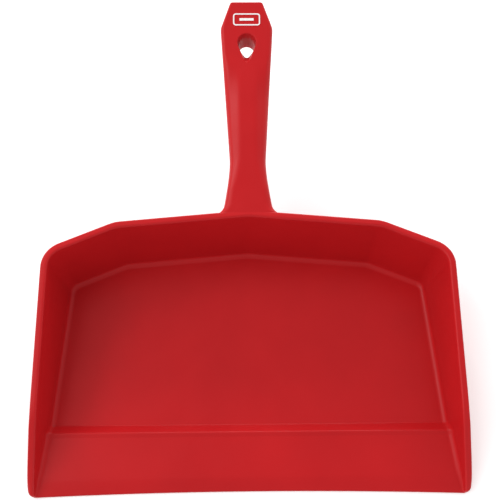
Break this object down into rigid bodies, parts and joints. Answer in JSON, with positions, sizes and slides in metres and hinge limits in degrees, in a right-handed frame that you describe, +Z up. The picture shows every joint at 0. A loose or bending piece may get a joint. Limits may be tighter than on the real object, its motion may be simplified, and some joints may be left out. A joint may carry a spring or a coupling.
{
  "type": "dustpan",
  "caption": "One-piece moulded dustpan: shallow tub with raised front ramp, thin scraping lip, rolled rim and an upswept faceted handle with a hanging hole.",
  "frame": {"origin": "middle of the overall box in plan, on the ground under the floor", "axes": "+X to the right seen from behind the lip looking towards the handle, +Y from the lip towards the handle, +Z up"},
  "size_m": [0.2944, 0.3298, 0.0878],
  "materials": {
    "red_plastic": "satin moulded polypropylene",
    "white_print": "flat printed ink"
  },
  "bodies": {
    "root": {"pan_floor": "red_plastic", "ramp_crest": "red_plastic", "front_ramp": "red_plastic", "scraping_lip": "red_plastic", "left_side_wall": "red_plastic", "left_corner_wall": "red_plastic", "left_back_wall": "red_plastic", "left_side_rim": "red_plastic", "left_corner_rim": "red_plastic", "left_back_rim": "red_plastic", "right_side_wall": "red_plastic", "right_corner_wall": "red_plastic", "right_back_wall": "red_plastic", "right_side_rim": "red_plastic", "right_corner_rim": "red_plastic", "right_back_rim": "red_plastic", "handle_neck": "red_plastic", "handle_grip": "red_plastic", "handle_end": "red_plastic", "printed_mark": "white_print"}
  },
  "joints": []
}
